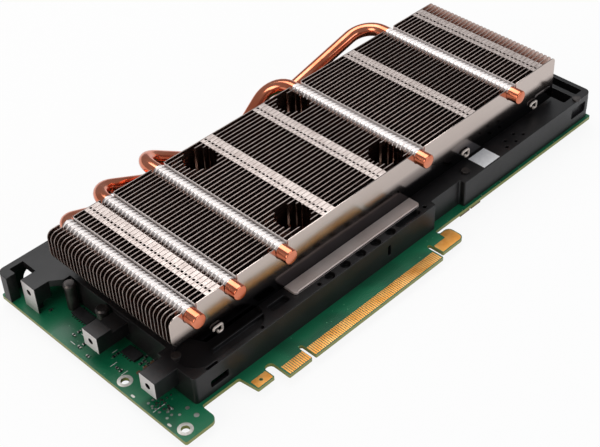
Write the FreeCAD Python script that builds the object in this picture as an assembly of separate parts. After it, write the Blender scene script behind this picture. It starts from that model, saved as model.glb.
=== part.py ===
"""Passive accelerator card: circuit board, cast frame and finned heatsink with five heat pipes.

Millimetres.  x = 0 is the middle of the edge connector's key slot and +X runs to the far end,
y = 0 is the connector's mating edge and +Y runs to the back, z = 0 is the underside of the board.
"""
import FreeCAD, Part
import math
import os

V = FreeCAD.Vector

# ---------------------------------------------------------------- circuit board
board_thickness = 1.57
board_length = 247.65
board_near_x = -58.2            # bracket end of the board
board_front_y = 12.4            # long front edge, behind the connector
board_depth = 98.75
board_corner_r = 1.0
near_tab_width = 14.7
near_tab_front_y = 3.9
near_tab_corner_r = 3.0

# edge connector
contact_pitch = 1.0
contact_width = 0.7
contact_length = 4.8
contact_setback = 0.4           # bare board between the mating edge and a contact
plating_thickness = 0.05
contacts_before_key = 11
contacts_after_key = 71
key_to_contact = 1.5            # middle of the key slot to the middle of the next contact
tongue_end_margin = 1.1         # last contact's middle to the end of its tongue
tongue_corner_r = 0.5
key_slot_width = 1.9
key_slot_depth = 7.7
key_notch_width = 4.0
key_notch_depth = 9.8
key_tab_width = 8.1
key_tab_front_y = 3.5
key_tab_flare = 1.1
key_tab_pad_length = 4.1
key_tab_hole_r = 0.5
hook_slot_width = 1.9
hook_slot_depth = 9.0
hook_stem_width = 7.5
hook_reach = 5.7
hook_front_y = 1.8
hook_back_y = 10.3
hook_corner_r = 2.6
hook_pad_back_y = 7.1

# plated rings and pads at the bracket end
ring_hole_r = 1.6
ring_pad_r = 2.9
ring_inset_x = 3.9
ring_front_y = 8.7
ring_pitch_y = 32.6
fiducial_r = 1.0
fiducial_offset = (10.7, 10.6)  # from the bracket end, from the mating edge

# ---------------------------------------------------------------- frame
frame_height = 12.43            # above the board's top
frame_wall = 1.5
deck_thickness = 3.0
frame_front_inset = 1.4
frame_back_inset = 0.45
frame_far_overhang = 0.3
frame_corner_r = 3.0
frame_front_near_x = -44.5      # near end of the front wall
frame_near_x = -40.6            # near edge of the deck between the posts
front_shelf_y = 33.0            # the deck reaches the front wall's near end up to here
shoulder_back_inset = 22.6      # the deck widens towards the back post from here
shoulder_x = -48.0
front_step_x = (83.6, 102.0)    # the front wall steps in between these
front_step_depth = 2.7
corner_pillar_length = 4.2
corner_pillar_depth = 6.2
back_rim_depth = 2.7

# bracket posts
post_end_x = -54.8
post_width = 8.3
post_depth = 7.8
front_post_y = 26.7
middle_post_y = 58.5
back_post_inset = 14.9
post_hole_r = 1.25
post_hole_length = 8.0
post_hole_below_top = 3.9
post_head_length = 6.8
middle_arm_drop = 2.0
post_leg_width = 4.0
post_leg_length = 3.8

# openings in the walls
arch_x = -44.6
arch_width = 8.2
arch_height = 6.9
near_window = (-33.05, 8.5, 3.4, 3.0)       # middle x, width, height, lift over the board
slit_window = (56.05, 1.7, 5.0, 3.6)
far_window = (9.9, 5.2, 4.2)
far_window_inset = 9.0
window_corner_r = 0.8

# pockets and holes in the deck
recess_depth = 1.8
recess_x = (-42.3, -4.5)
recess_y = (15.9, 32.1)
recess_corner_r = 7.9
recess_rib_y = 20.45
recess_rib_width = 0.7
recess_rib_start_x = -30.0
step_pocket_x = (-2.6, 6.4)
step_pocket_y = (18.0, 21.4)
port_row_x = 25.2
port_row_pitch = 8.5
port_row_count = 5
port_row_y = 16.4
port_r = 2.2
long_port_x = (62.9, 76.3)
long_port_width = 3.4
port_depth = 2.2
dowel_xy = ((-10.6, 15.4), (19.3, 15.9), (79.5, 16.3))
dowel_hole_r = 0.9
vent_r = 0.8
vent_xy = ((144.1, 16.8), (138.2, 16.0), (132.4, 16.2), (141.3, 19.9), (135.1, 19.4))
far_pocket_inset = ((15.35, 9.15), (6.75, 2.15))    # limits from the far end
far_pocket_y = (17.4, 36.0)
far_pocket_depth = 8.0
near_slot_x = (-38.0, -32.6)
near_slot_y = 14.7
near_slot_width = 1.2

# screws through the board into the frame
near_boss_x = (-36.0, -20.0)    # back, front
far_boss_inset = 21.75
back_boss_inset = 9.7
front_boss_y = (27.0, 43.0)     # near, far
boss_r = 3.2
screw_r = 1.25
screw_bite = 6.0
screw_head_r = 2.4
screw_head_height = 1.7
screw_clearance = 0.15

# standoffs in front of the deck
standoff_x = -43.4
standoff_y = 65.6
standoff_shoulder_gap = 2.9
standoff_r = 2.3
standoff_height = 10.4
standoff_head_overhang = 0.3
standoff_head_chamfer = 0.6

# small screws in the deck
near_deck_screw = (-41.0, 27.0)
middle_deck_screw = (107.6, 18.4)
far_deck_screw_inset = 9.75
far_deck_screw_y = 14.9
deck_screw_r = 1.0
deck_screw_head_r = 1.8
deck_screw_head_height = 0.9
label_x = (115.0, 125.2)
label_y = (14.4, 22.9)
label_thickness = 0.08

# ---------------------------------------------------------------- heatsink
fin_pitch = 2.06
fin_thickness = 0.4
stack_front_y = 23.4
pipe_loop_room = 19.3           # behind the fins, where the pipes turn down
fin_top_z = 36.0
fin_bottom_z = 15.2
fin_near_x = -44.6
fin_far_inset = 16.65           # from the far end of the board
fin_near_corner_r = 3.0
fin_far_corner_r = 2.5
heel_z = 27.5                   # lower end of the upright near edge
heel_r = 3.0
waist = (-37.5, 22.8)           # x, z where the near edge turns down to the base
foot_x = -29.8
lip_x = (-27.4, 30.0, 58.6)     # lips at fixed places, then shares of the fin's length
far_lip_share = (0.7226, 0.9306)
lip_width = 7.4
lip_gap = 0.06
near_clip_x = -29.5
far_clip_share = (0.7033, 0.9121)
clip_width = 8.0
clip_height = 4.8
clip_wire = 1.3
clip_stand_off = 1.3
clip_drop = 0.9
dimple_length = 11.0
dimple_height = 3.2
dimple_inset = 7.3
dimple_z = 20.5
dimple_depth = 0.25

# heat pipes
pipe_r = 3.0
pipe_bend_r = (7.0, 11.0, 11.0, 11.0, 11.0)
pipe_top_z = 31.0
pipe_front_y = 19.8
pipe_base_front_y = 30.0
pipe_top_x = (-34.0, -15.0, 10.0, 85.4)
last_pipe_share = 0.8671        # of the fin's length
pipe_base_x = (14.9, 31.5, 43.0, 56.5, 66.5)
pipe_turn_inset = (13.4, 5.7, 2.7, 3.7, 3.2)        # from the frame's back face
pipe_base_turn_inset = (11.2, 8.7, 5.7, 6.7, 3.2)
pipe_sides = 16                 # facets round a pipe and its collars
pipe_clearance = 0.05
collar_wall = 0.6
collar_clearance = 0.1
notch_sides = 4

# base plate and its screws
processor_x = 48.2
spring_screw_span = 51.2
ledge_x = (8.8, 78.5)
ledge_front_y = 17.7
ledge_back_margin = 6.8         # behind the back pair of spring screws
ledge_thickness = 1.0
ledge_corner_r = 1.5
base_x = (10.3, 77.0)
base_front_y = 24.0
base_back_margin = 5.8
base_floor = 0.9                # metal left under a pipe
base_fit = 0.8                  # gap round the base in the frame's window
bay_x = (0.0, 93.0)
bay_lap = 3.0                   # the pipes' bay reaches this far in front of the base's back edge
well_r = 7.0
well_foot_r = 3.7
well_step_z = 20.5
spring_screw_r = 1.6
spring_screw_head_r = 3.2
spring_screw_head_height = 2.2
spring_height = 5.0
spring_wall = 0.5
backing_thickness = 1.4
backing_gap = 1.2
backing_arm_width = 9.0
backing_boss_r = 4.2

# ---------------------------------------------------------------- parts on the board
package_size = 42.5
package_height = 2.0
lid_size = 34.0
lid_height = 2.0
lid_corner_r = 2.0
pedestal_size = 30.0
memory_size = (12.0, 14.0, 1.2)
memory_count = 4
memory_pitch = 17.0
memory_x = (-2.0, 90.0)
pad_thickness = 1.0
pad_margin = 1.0
choke_size = 8.0
choke_height = 5.0
choke_far_gap = 23.4            # least room from a choke's middle to the far end
choke_pitch = 10.0
choke_row = (112.0, 88.0)       # first choke's middle
transistor_size = (5.2, 6.2, 1.1)
transistor_row_y = 78.0
can_r = 3.4
can_height = 7.2
can_count = 5
can_pitch = 10.0
can_row = (114.0, 66.0)
control_chip_a = (-44.2, 78.0, 4.4, 9.4)    # middle x, middle y, width, length
control_chip_b = (-44.2, 49.4, 4.4, 7.4)
chip_height = 1.0
leg_width = 0.35
leg_reach = 0.8
leg_pitch = 1.3
small_part_size = (1.6, 0.8, 0.6)
small_part_start = (-48.5, 33.5)
small_part_pitch = (3.2, 2.4)
small_part_grid = (3, 4)
under_cap_x = (98.5, 105.5)
under_cap_size = (6.0, 3.2, 1.2)
plug_pitch = 4.2
plug_wall = 1.3
plug_cavity = 3.4
plug_depth = 13.0
plug_floor = 2.0
plug_lift = 0.6
plug_far_gap = 0.4
plug_y = (52.0, 80.0)
plug_columns = (3, 4)
plug_pin = 0.9
plug_pin_length = 8.0

# ---------------------------------------------------------------- worked out from those
board_far_x = board_near_x + board_length
board_back_y = board_front_y + board_depth
top_z = board_thickness
frame_top_z = top_z + frame_height
deck_z = frame_top_z - deck_thickness
frame_front_y = board_front_y + frame_front_inset
frame_back_y = board_back_y - frame_back_inset
frame_far_x = board_far_x + frame_far_overhang
shoulder_y = frame_back_y - shoulder_back_inset
post_y = (front_post_y, middle_post_y, frame_back_y - back_post_inset)
back_boss_y = frame_back_y - back_boss_inset
far_boss_x = frame_far_x - far_boss_inset
boss_xy = [
    (near_boss_x[0], back_boss_y),
    (near_boss_x[1], front_boss_y[0]),
    (far_boss_x, front_boss_y[1]),
    (far_boss_x, back_boss_y),
]
standoff_xy = [(standoff_x, standoff_y), (standoff_x, shoulder_y - standoff_shoulder_gap)]
deck_screw_xy = [near_deck_screw, middle_deck_screw, (frame_far_x - far_deck_screw_inset, far_deck_screw_y)]
front_windows = [near_window, slit_window, (frame_far_x - far_window_inset, *far_window)]
far_pocket_x = [(frame_far_x - far, frame_far_x - near) for far, near in far_pocket_inset]
tongue_a_x = -(key_to_contact + (contacts_before_key - 1) * contact_pitch + tongue_end_margin)
tongue_b_x = key_to_contact + (contacts_after_key - 1) * contact_pitch + tongue_end_margin
key_tab_far_x = tongue_a_x - key_notch_width
key_tab_near_x = key_tab_far_x - key_tab_width
hook_x = tongue_b_x + hook_slot_width
hook_throat_x = hook_x + hook_stem_width
hook_tip_x = hook_throat_x + hook_reach
collar_r = pipe_r + collar_wall
notch_r = collar_r + collar_clearance
pipe_base_z = fin_bottom_z - pipe_r
base_bottom_z = pipe_base_z - pipe_r - base_floor
fin_far_x = board_far_x - fin_far_inset
fin_length = fin_far_x - fin_near_x
fin_count = 1 + int((board_back_y - pipe_loop_room - fin_thickness - stack_front_y) / fin_pitch)
fin_fronts = [stack_front_y + index * fin_pitch for index in range(fin_count)]
stack_back_y = fin_fronts[-1] + fin_thickness
far_lip_x = [fin_near_x + share * fin_length for share in far_lip_share]
lip_spans = [(x, x + lip_width) for x in (*lip_x, far_lip_x[0])]
lip_spans.append((far_lip_x[1], fin_far_x - fin_far_corner_r))
clip_x = [near_clip_x] + [fin_near_x + share * fin_length for share in far_clip_share]
pipe_x = (*pipe_top_x, fin_near_x + last_pipe_share * fin_length)
pipe_turn_y = [frame_back_y - inset for inset in pipe_turn_inset]
pipe_base_turn_y = [frame_back_y - inset for inset in pipe_base_turn_inset]
processor_y = (stack_front_y + stack_back_y) / 2
spring_screw_x = [processor_x + side * spring_screw_span / 2 for side in (-1, 1)]
spring_screw_y = [processor_y + side * spring_screw_span / 2 for side in (-1, 1)]
spring_screw_xy = [(x, y) for x in spring_screw_x for y in spring_screw_y]
spring_head_z = fin_bottom_z + spring_height
ledge_y = (ledge_front_y, spring_screw_y[1] + ledge_back_margin)
base_y = (base_front_y, spring_screw_y[1] + base_back_margin)
bay_front_y = base_y[1] - bay_lap
choke_count = 1 + int((board_far_x - choke_far_gap - choke_row[0]) / choke_pitch)
backing_bottom_z = -(backing_gap + backing_thickness)


# ---------------------------------------------------------------- shape helpers
def rounded_wire(corners, place, bevelled=False):
    """Closed wire through corners (a, b[, radius]); place turns (a, b) into a point."""
    points = [place(corner[0], corner[1]) for corner in corners]
    radii = [corner[2] if len(corner) > 2 else 0.0 for corner in corners]
    starts, ends, middles = [], [], []
    for index, point in enumerate(points):
        back = (points[index - 1] - point).normalize()
        ahead = (points[(index + 1) % len(points)] - point).normalize()
        half = back.getAngle(ahead) / 2
        setback = radii[index] / math.tan(half)
        starts.append(point + back * setback)
        ends.append(point + ahead * setback)
        inward = (back + ahead).normalize()
        middles.append(point + inward * (radii[index] / math.sin(half) - radii[index]))
    edges = []
    for index in range(len(points)):
        if radii[index] > 0 and bevelled:
            edges.append(Part.makeLine(starts[index], ends[index]))
        elif radii[index] > 0:
            edges.append(Part.Arc(starts[index], middles[index], ends[index]).toShape())
        following = starts[(index + 1) % len(points)]
        if ends[index].distanceToPoint(following) > 1e-6:
            edges.append(Part.makeLine(ends[index], following))
    return Part.Wire(edges)


def slab(corners, bottom, top):
    """Upright prism over an outline in the XY plane."""
    wire = rounded_wire(corners, lambda x, y: V(x, y, bottom))
    return Part.Face(wire).extrude(V(0, 0, top - bottom))


def panel(corners, front, back, bevelled=False):
    """Prism along Y over an outline in the XZ plane."""
    wire = rounded_wire(corners, lambda x, z: V(x, front, z), bevelled)
    return Part.Face(wire).extrude(V(0, back - front, 0))


def block(x, y, z):
    """Box between pairs of limits."""
    return Part.makeBox(x[1] - x[0], y[1] - y[0], z[1] - z[0], V(x[0], y[0], z[0]))


def rectangle(x, y, radius=0.0):
    return [(x[0], y[0], radius), (x[1], y[0], radius), (x[1], y[1], radius), (x[0], y[1], radius)]


def around(middle, size):
    """Limits of a size centred on a middle."""
    return (middle - size / 2, middle + size / 2)


def post(x, y, radius, bottom, top):
    return Part.makeCylinder(radius, top - bottom, V(x, y, bottom))


def ring_corners(middle, radius, sides):
    """Corners of a regular polygon drawn round a circle in the XZ plane, flat side down."""
    reach = radius / math.cos(math.pi / sides)
    angles = [2 * math.pi * (step + 0.5) / sides for step in range(sides)]
    return [(middle[0] + reach * math.sin(turn), middle[1] - reach * math.cos(turn)) for turn in angles]


def drop(solid, tools):
    """Solid with every tool cut from it."""
    return solid.cut(Part.makeCompound(tools))


def join(shapes):
    """One fused solid without seams on its flat faces."""
    return shapes[0].multiFuse(shapes[1:]).removeSplitter()


def save(name, shapes):
    """Write one node; several separate solids share it as a group."""
    solids = [solid for shape in shapes for solid in shape.Solids]
    Part.makeCompound(solids).exportStep("parts/" + name + ".step")
    print(name, len(solids))


# ---------------------------------------------------------------- circuit board
def board_outline():
    """Outline with the near tab, key tab, two tongues, key slot and retention hook."""
    slot_r = key_slot_width / 2 * 0.98
    notch_end_r = key_notch_width / 2 * 0.98
    hook_slot_r = hook_slot_width / 2 * 0.98
    throat_r = (board_front_y - hook_back_y) / 2 * 0.98
    near_tab_x = board_near_x + near_tab_width
    return [
        (board_near_x, near_tab_front_y, board_corner_r),
        (near_tab_x, near_tab_front_y, near_tab_corner_r),
        (near_tab_x, board_front_y, board_corner_r),
        (key_tab_near_x - key_tab_flare, board_front_y, board_corner_r),
        (key_tab_near_x, key_tab_front_y, tongue_corner_r),
        (key_tab_far_x, key_tab_front_y, tongue_corner_r),
        (key_tab_far_x, key_notch_depth, notch_end_r),
        (tongue_a_x, key_notch_depth, notch_end_r),
        (tongue_a_x, 0, tongue_corner_r),
        (-key_slot_width / 2, 0, tongue_corner_r),
        (-key_slot_width / 2, key_slot_depth, slot_r),
        (key_slot_width / 2, key_slot_depth, slot_r),
        (key_slot_width / 2, 0, tongue_corner_r),
        (tongue_b_x, 0, tongue_corner_r),
        (tongue_b_x, hook_slot_depth, hook_slot_r),
        (hook_x, hook_slot_depth, hook_slot_r),
        (hook_x, hook_front_y, tongue_corner_r),
        (hook_tip_x, hook_front_y, hook_corner_r),
        (hook_tip_x, hook_back_y, hook_corner_r),
        (hook_throat_x, hook_back_y, throat_r),
        (hook_throat_x, board_front_y, throat_r),
        (board_far_x, board_front_y, board_corner_r),
        (board_far_x, board_back_y, board_corner_r),
        (board_near_x, board_back_y, board_corner_r),
    ]


def ring_places():
    x = board_near_x + ring_inset_x
    return [(x, ring_front_y), (x, ring_front_y + ring_pitch_y)]


def key_hole_place():
    return (key_tab_near_x + key_tab_width * 0.47, key_tab_front_y + 2.6)


def circuit_board():
    hole_r = screw_r + screw_clearance
    holes = [post(x, y, hole_r, -1, top_z + 1) for x, y in boss_xy]
    holes += [post(x, y, spring_screw_r + screw_clearance, -1, top_z + 1) for x, y in spring_screw_xy]
    holes += [post(x, y, ring_hole_r, -1, top_z + 1) for x, y in ring_places()]
    holes.append(post(*key_hole_place(), key_tab_hole_r, -1, top_z + 1))
    return drop(slab(board_outline(), 0, board_thickness), holes)


def contact_middles():
    before = [-key_to_contact - index * contact_pitch for index in range(contacts_before_key)]
    after = [key_to_contact + index * contact_pitch for index in range(contacts_after_key)]
    return before + after


def edge_contacts(bottom):
    """One gold finger at each pitch, on the face that starts at this height."""
    y = (contact_setback, contact_setback + contact_length)
    z = (bottom, bottom + plating_thickness)
    return [block(around(x, contact_width), y, z) for x in contact_middles()]


def plated_tabs():
    """Gold on the key tab and on the retention hook."""
    z = (top_z, top_z + plating_thickness)
    tab_y = (key_tab_front_y + contact_setback, key_tab_front_y + contact_setback + key_tab_pad_length)
    tab_x = (key_tab_near_x + contact_setback, key_tab_far_x - contact_setback)
    tab = slab(rectangle(tab_x, tab_y, tongue_corner_r), *z)
    tab = tab.cut(post(*key_hole_place(), key_tab_hole_r + contact_setback / 2, z[0] - 1, z[1] + 1))
    tip_r = hook_corner_r - contact_setback
    hook = slab([
        (hook_x + contact_setback, hook_front_y + contact_setback, tongue_corner_r),
        (hook_tip_x - contact_setback, hook_front_y + contact_setback, tip_r),
        (hook_tip_x - contact_setback, hook_back_y - contact_setback, tip_r),
        (hook_throat_x, hook_back_y - contact_setback, tongue_corner_r),
        (hook_throat_x, hook_pad_back_y, tongue_corner_r),
        (hook_x + contact_setback, hook_pad_back_y, tongue_corner_r),
    ], *z)
    return [tab, hook]


def mounting_rings():
    """Tinned rings round the bracket holes, with one round test pad beside them."""
    z = (top_z, top_z + plating_thickness)
    rings = []
    for x, y in ring_places():
        rings.append(post(x, y, ring_pad_r, *z).cut(post(x, y, ring_hole_r, z[0] - 1, z[1] + 1)))
    rings.append(post(board_near_x + fiducial_offset[0], fiducial_offset[1], fiducial_r, *z))
    return rings


# ---------------------------------------------------------------- frame
def frame_outline():
    step_y = frame_front_y + front_step_depth
    return [
        (frame_front_near_x, frame_front_y, frame_wall),
        (front_step_x[0], frame_front_y, frame_wall / 2),
        (front_step_x[0], step_y, frame_wall / 2),
        (front_step_x[1], step_y, frame_wall / 2),
        (front_step_x[1], frame_front_y, frame_wall / 2),
        (frame_far_x, frame_front_y, frame_corner_r),
        (frame_far_x, frame_back_y, frame_corner_r),
        (board_near_x, frame_back_y, frame_corner_r),
        (board_near_x, frame_back_y - corner_pillar_depth),
        (board_near_x + corner_pillar_length, frame_back_y - corner_pillar_depth),
        (board_near_x + corner_pillar_length, frame_back_y - back_rim_depth),
        (shoulder_x, frame_back_y - back_rim_depth),
        (shoulder_x, post_y[2] + post_width / 2),
        (post_end_x, post_y[2] + post_width / 2),
        (post_end_x, post_y[2] - post_width / 2),
        (shoulder_x, post_y[2] - post_width / 2),
        (frame_near_x - 2 * frame_wall, shoulder_y),
        (frame_near_x, shoulder_y),
        (frame_near_x, front_shelf_y),
        (frame_front_near_x, front_shelf_y),
    ]


def frame_shell():
    """Deck with a wall down to the board, open below the shoulder and the back post."""
    outline = frame_outline()
    solid = slab(outline, top_z, frame_top_z)
    face = Part.Face(rounded_wire(outline, lambda x, y: V(x, y, top_z)))
    hollow = face.makeOffset2D(-frame_wall).extrude(V(0, 0, frame_height - deck_thickness))
    under_x = (board_near_x + corner_pillar_length, frame_near_x + frame_wall)
    under = block(under_x, (shoulder_y, frame_back_y - frame_wall), (top_z, deck_z))
    return drop(solid, [hollow, under])


def bracket_posts():
    """Three square posts with tapped end faces; the middle arm is lower, the back one has a leg."""
    z = (frame_top_z - post_depth, frame_top_z)
    bodies = []
    for y in post_y:
        bodies.append(block((post_end_x, post_end_x + post_head_length), around(y, post_width), z))
    front_arm = (post_end_x + post_head_length, frame_near_x)
    bodies.append(block(front_arm, around(post_y[0], post_width), z))
    middle_z = (z[0], frame_top_z - middle_arm_drop)
    bodies.append(block(front_arm, around(post_y[1], post_width), middle_z))
    leg_x = (post_end_x, post_end_x + post_leg_length)
    bodies.append(block(leg_x, around(post_y[2], post_leg_width), (top_z, z[0])))
    return bodies


def post_bores():
    z = frame_top_z - post_hole_below_top
    start = post_end_x
    return [Part.makeCylinder(post_hole_r, post_hole_length, V(start, y, z), V(1, 0, 0)) for y in post_y]


def wall_openings():
    """Cable arch in the back wall, small windows in the front wall, relief for the last pipe."""
    arch_z = top_z + arch_height
    arch = panel([
        (arch_x - arch_width / 2, top_z),
        (arch_x + arch_width / 2, top_z),
        (arch_x + arch_width / 2, arch_z, arch_width * 0.49),
        (arch_x - arch_width / 2, arch_z, arch_width * 0.49),
    ], frame_back_y - frame_wall - 0.1, frame_back_y + 1)
    tools = [arch]
    for middle, width, height, lift in front_windows:
        x = around(middle, width)
        z = (top_z + lift, top_z + lift + height)
        radius = min(window_corner_r, width * 0.4)
        tools.append(panel(rectangle(x, z, radius), frame_front_y - 1, frame_front_y + frame_wall + 0.1))
    return tools


def base_window():
    """Opening round the base plate, widened at the back where the pipes come down."""
    window_x = (base_x[0] - base_fit, base_x[1] + base_fit)
    window_y = (base_y[0] - base_fit, bay_front_y + 1)
    z = (top_z, frame_top_z + 1)
    bay_y = (bay_front_y, frame_back_y - frame_wall)
    tools = [block(window_x, window_y, z), slab(rectangle(bay_x, bay_y, frame_wall), *z)]
    relief_x = (pipe_base_x[4] - pipe_r - base_fit, bay_x[1])
    relief_z = (pipe_base_z - pipe_r - base_fit, frame_top_z + 1)
    tools.append(block(relief_x, (frame_back_y - 2 * frame_wall, frame_back_y + 1), relief_z))
    return tools


def deck_pockets():
    """Rounded recess with its rib, step pocket, row of ports, vents and far pockets."""
    recess_z = (frame_top_z - recess_depth, frame_top_z + 1)
    recess = slab(rectangle(recess_x, recess_y, recess_corner_r), *recess_z)
    rib = block((recess_rib_start_x, recess_x[1]), around(recess_rib_y, recess_rib_width), recess_z)
    port_z = (frame_top_z - port_depth, frame_top_z + 1)
    tools = [recess.cut(rib)]
    tools.append(slab(rectangle(step_pocket_x, step_pocket_y, frame_wall / 2), *port_z))
    for index in range(port_row_count):
        tools.append(post(port_row_x + index * port_row_pitch, port_row_y, port_r, *port_z))
    long_port = rectangle(long_port_x, around(port_row_y, long_port_width), long_port_width * 0.49)
    tools.append(slab(long_port, *port_z))
    tools += [post(x, y, dowel_hole_r, *port_z) for x, y in dowel_xy]
    tools += [post(x, y, vent_r, *port_z) for x, y in vent_xy]
    slot_y = around(near_slot_y, near_slot_width)
    tools.append(slab(rectangle(near_slot_x, slot_y, near_slot_width * 0.49), *port_z))
    for x in far_pocket_x:
        outline = rectangle(x, far_pocket_y, frame_wall / 2)
        tools.append(slab(outline, frame_top_z - far_pocket_depth, frame_top_z + 1))
    return tools


def thermal_islands():
    """Blocks under the deck that reach down towards the memory chips."""
    z = (top_z + memory_size[2] + pad_thickness, deck_z)
    length = (memory_count - 1) * memory_pitch + memory_size[1] + 2 * pad_margin
    width = memory_size[0] + 2 * pad_margin
    return [block(around(x, width), around(processor_y, length), z) for x in memory_x]


def plug_openings():
    """Gates in the far wall for the two power plugs."""
    height = 2 * plug_pitch + 2 * plug_wall
    z = (top_z + plug_lift - plug_far_gap, top_z + plug_lift + height + plug_far_gap)
    tools = []
    for middle, columns in zip(plug_y, plug_columns):
        width = columns * plug_pitch + 2 * plug_wall + 2 * plug_far_gap
        tools.append(block((frame_far_x - plug_depth, frame_far_x + 1), around(middle, width), z))
    return tools


def frame():
    bosses = [post(x, y, boss_r, top_z, deck_z) for x, y in boss_xy]
    pillar_x = (board_near_x, board_near_x + corner_pillar_length)
    pillar_y = (frame_back_y - corner_pillar_depth, frame_back_y - frame_corner_r)
    pillar = block(pillar_x, pillar_y, (top_z, deck_z))
    pocket_walls = block((far_pocket_x[0][0] - frame_wall, frame_far_x - frame_wall / 2),
                         (frame_front_y + frame_wall / 2, far_pocket_y[1] + frame_wall),
                         (frame_top_z - far_pocket_depth - frame_wall, deck_z))
    solid = join([frame_shell(), pillar, pocket_walls] + bracket_posts() + bosses + thermal_islands())
    tools = wall_openings() + base_window() + deck_pockets() + post_bores() + plug_openings()
    tools += [post(x, y, screw_r, top_z - 1, top_z + screw_bite + 1) for x, y in boss_xy]
    tools += [post(x, y, deck_screw_r, frame_top_z - port_depth, frame_top_z + 1) for x, y in deck_screw_xy]
    return drop(solid, tools)


def frame_screws():
    """Screws from the underside of the board into the frame's bosses."""
    screws = []
    for x, y in boss_xy:
        head = post(x, y, screw_head_r, -screw_head_height, 0)
        screws.append(join([head, post(x, y, screw_r, 0, top_z + screw_bite)]))
    return screws


def deck_screws():
    """Small flat-headed screws set in the deck."""
    screws = []
    for x, y in deck_screw_xy:
        shank = post(x, y, deck_screw_r, frame_top_z - port_depth, frame_top_z)
        head = post(x, y, deck_screw_head_r, frame_top_z, frame_top_z + deck_screw_head_height)
        screws.append(join([shank, head]))
    return screws


def standoffs():
    return [post(x, y, standoff_r, top_z, top_z + standoff_height) for x, y in standoff_xy]


def standoff_screws():
    """Bevelled screw heads on the standoffs."""
    bottom = top_z + standoff_height
    heads = []
    for x, y in standoff_xy:
        head = post(x, y, standoff_r + standoff_head_overhang, bottom, frame_top_z)
        rim = [edge for edge in head.Edges if edge.BoundBox.ZMin > frame_top_z - 0.01]
        heads.append(head.makeChamfer(standoff_head_chamfer, rim))
    return heads


# ---------------------------------------------------------------- heat pipes
def pipe_points(index):
    """Corner points of a pipe: over the fins, down behind them, back under them."""
    return [
        V(pipe_x[index], pipe_front_y, pipe_top_z),
        V(pipe_x[index], pipe_turn_y[index], pipe_top_z),
        V(pipe_base_x[index], pipe_base_turn_y[index], pipe_base_z),
        V(pipe_base_x[index], pipe_base_front_y, pipe_base_z),
    ]


def bent_path(points, radius):
    """Straight runs joined by tangent arcs."""
    edges = []
    start = points[0]
    for before, corner, after in zip(points, points[1:], points[2:]):
        back = (before - corner).normalize()
        ahead = (after - corner).normalize()
        half = back.getAngle(ahead) / 2
        setback = radius / math.tan(half)
        inward = (back + ahead).normalize()
        middle = corner + inward * (radius / math.sin(half) - radius)
        edges.append(Part.makeLine(start, corner + back * setback))
        edges.append(Part.Arc(corner + back * setback, middle, corner + ahead * setback).toShape())
        start = corner + ahead * setback
    edges.append(Part.makeLine(start, points[-1]))
    return Part.Wire(edges)


def heat_pipe(index):
    """Sealed copper tube, its front end closed flat."""
    points = pipe_points(index)
    inner_r = pipe_r * math.cos(math.pi / pipe_sides)
    ring = ring_corners((points[0].x, points[0].z), inner_r, pipe_sides)
    section = Part.makePolygon([V(x, points[0].y, z) for x, z in ring + ring[:1]])
    return bent_path(points, pipe_bend_r[index]).makePipeShell([section], True, False)


def pipe_collars():
    """Row of drawn fin collars round each pipe, joined into a sleeve."""
    outer_r = collar_r * math.cos(math.pi / pipe_sides)
    y = (stack_front_y + fin_thickness, stack_back_y - fin_pitch)
    sleeves = []
    for x in pipe_x:
        outer = panel(ring_corners((x, pipe_top_z), outer_r, pipe_sides), *y)
        bore = panel(ring_corners((x, pipe_top_z), pipe_r + pipe_clearance, pipe_sides), *y)
        sleeves.append(outer.cut(bore))
    return sleeves


# ---------------------------------------------------------------- fins
def notch_corners(x):
    """Open-topped notch round a pipe's collar, with a faceted round bottom."""
    corners = [(x + notch_r, fin_top_z)]
    corner_r = notch_r / math.cos(math.pi / notch_sides / 2)
    for step in range(notch_sides):
        angle = math.pi * (step + 0.5) / notch_sides
        corners.append((x + corner_r * math.cos(angle), pipe_top_z - corner_r * math.sin(angle)))
    corners.append((x - notch_r, fin_top_z))
    return corners


def fin_outline():
    """Fin seen from the front: sloping heel at the near end, a notch for each pipe."""
    corners = [
        (fin_near_x, fin_top_z, fin_near_corner_r),
        (fin_near_x, heel_z, heel_r),
        (waist[0], waist[1]),
        (foot_x, fin_bottom_z),
        (fin_far_x, fin_bottom_z),
        (fin_far_x, fin_top_z, fin_far_corner_r),
    ]
    for x in reversed(pipe_x):
        corners += notch_corners(x)
    return corners


def fin(front, lips, bevelled=True):
    """One folded fin; lips says whether its top edge folds over to a next fin."""
    sheet = panel(fin_outline(), front, front + fin_thickness, bevelled)
    if not lips:
        return sheet
    y = (front + fin_thickness, front + fin_pitch - lip_gap)
    z = (fin_top_z - fin_thickness, fin_top_z)
    return join([sheet] + [block(span, y, z) for span in lip_spans])


def screw_wells():
    """Stepped round clearance over each spring screw."""
    tools = []
    for x, y in spring_screw_xy:
        tools.append(post(x, y, well_r, well_step_z, fin_top_z + 1))
        tools.append(post(x, y, well_foot_r, fin_bottom_z - 1, well_step_z))
    return tools


def meets_well(front):
    middle = front + fin_thickness / 2
    return any(abs(middle - y) < well_r + fin_thickness for y in spring_screw_y)


def plain_fins():
    return [fin(front, front != fin_fronts[-1]) for front in fin_fronts[1:] if not meets_well(front)]


def well_fins(well_y):
    """Fins cut away round the pair of spring screws at this y."""
    fronts = [front for front in fin_fronts[1:] if meets_well(front) and abs(front - well_y) < 2 * well_r]
    wells = Part.makeCompound(screw_wells())
    return [fin(front, front != fin_fronts[-1]).cut(wells) for front in fronts]


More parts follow.
